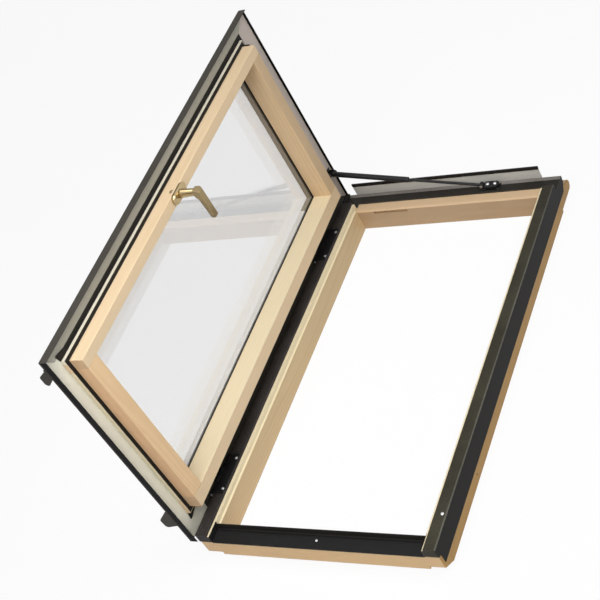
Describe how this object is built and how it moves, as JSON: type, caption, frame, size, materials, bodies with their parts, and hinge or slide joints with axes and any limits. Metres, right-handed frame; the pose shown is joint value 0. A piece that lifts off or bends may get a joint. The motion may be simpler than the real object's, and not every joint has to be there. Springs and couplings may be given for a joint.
{
  "type": "side-hung roof exit window",
  "caption": "Side-hung roof skylight with a pine frame and glazed pine sash in dark cladding, standing open on two hinges and a telescopic stay.",
  "frame": {"origin": "centre of the lower side of the sill, on the frame's inner (lining) face", "axes": "+X across the roof from the hinge side to the opening side, +Y up the slope, +Z out of the roof"},
  "size_m": [0.7323, 1.245, 0.7705],
  "materials": {
    "pine": "clear-lacquered pine",
    "cladding": "dark lacquered aluminium",
    "sill_sheet": "black lacquered aluminium",
    "grey_sheet": "grey lacquered aluminium",
    "rubber": "black rubber",
    "setting_block": "plastic",
    "black_steel": "black painted steel",
    "steel": "zinc-plated steel",
    "brass": "satin brass",
    "glass": "clear float glass",
    "spacer": "mill aluminium"
  },
  "bodies": {
    "frame": {"frame_sill": "pine", "frame_head": "pine", "jamb_hinge": "pine", "jamb_lock": "pine", "sill_cover": "sill_sheet", "jamb_cover_hinge": "cladding", "jamb_cover_lock": "cladding", "head_cover": "cladding", "head_plate": "grey_sheet", "head_trim": "rubber", "sill_gasket": "rubber", "hinge_gasket": "rubber", "hinge_frame_low": "black_steel", "hinge_frame_high": "black_steel", "hinge_pin_low": "steel", "hinge_pin_high": "steel", "hinge_screws_low": "steel", "hinge_screws_high": "steel", "cover_screws": "steel", "striker": "steel", "stay_bracket": "black_steel", "stay_bracket_screws": "steel", "stay_pin": "steel"},
    "sash": {"stile_hinge": "pine", "stile_lock": "pine", "rail_bottom": "pine", "rail_head": "pine", "cover_hinge": "cladding", "cover_lock": "cladding", "cover_bottom": "cladding", "cover_head": "cladding", "clip_lock": "cladding", "clip_hinge": "cladding", "backing_hinge": "grey_sheet", "backing_lock": "grey_sheet", "backing_bottom": "grey_sheet", "backing_head": "grey_sheet", "sash_gasket": "rubber", "sash_seal": "rubber", "head_fin": "rubber", "glass_seal_inner": "rubber", "glass_seal_outer": "rubber", "setting_block_a": "setting_block", "setting_block_b": "setting_block", "hinge_sash_low": "black_steel", "hinge_sash_high": "black_steel", "stay_sash_bracket": "black_steel", "lock_case": "steel", "rosette": "brass", "pane_inner": "glass", "pane_outer": "glass", "spacer": "spacer"},
    "handle": {"handle": "brass", "spindle": "steel", "lock_hub": "steel"},
    "bolt": {"latch_bolt": "steel"},
    "stay_rod": {"stay_rod": "black_steel"},
    "stay_tube": {"stay_tube": "black_steel", "stay_bush": "steel"}
  },
  "joints": [
    {"name": "sash_hinge", "type": "hinge", "parent": "frame", "child": "sash", "pos_m": [-0.3395, 0.553, 0.0895], "axis": [0, 1, 0], "range_deg": [0, 90]},
    {"name": "handle_turn", "type": "hinge", "parent": "sash", "child": "handle", "pos_m": [-0.302, 0.554, 0.697], "axis": [-1, 0, 0], "range_deg": [0, 90]},
    {"name": "bolt_slide", "type": "slide", "parent": "sash", "child": "bolt", "axis": [0, 0, 1], "range_m": [0, 0.0099]},
    {"name": "stay_swing", "type": "hinge", "parent": "frame", "child": "stay_rod", "pos_m": [0.106, 1.156, 0.0855], "axis": [0, -1, 0], "range_deg": [0, 12.75]},
    {"name": "stay_slide", "type": "slide", "parent": "stay_rod", "child": "stay_tube", "axis": [0.9769, 0, -0.2136], "range_m": [0, 0.09591]}
  ],
  "couplings": [
    {"joint": "bolt_slide", "follows": "handle_turn", "m_per_rad": 0.006302},
    {"joint": "stay_swing", "follows": "sash_hinge", "ratio": 0.14156},
    {"joint": "stay_slide", "follows": "sash_hinge", "m_per_rad": 0.06103}
  ]
}
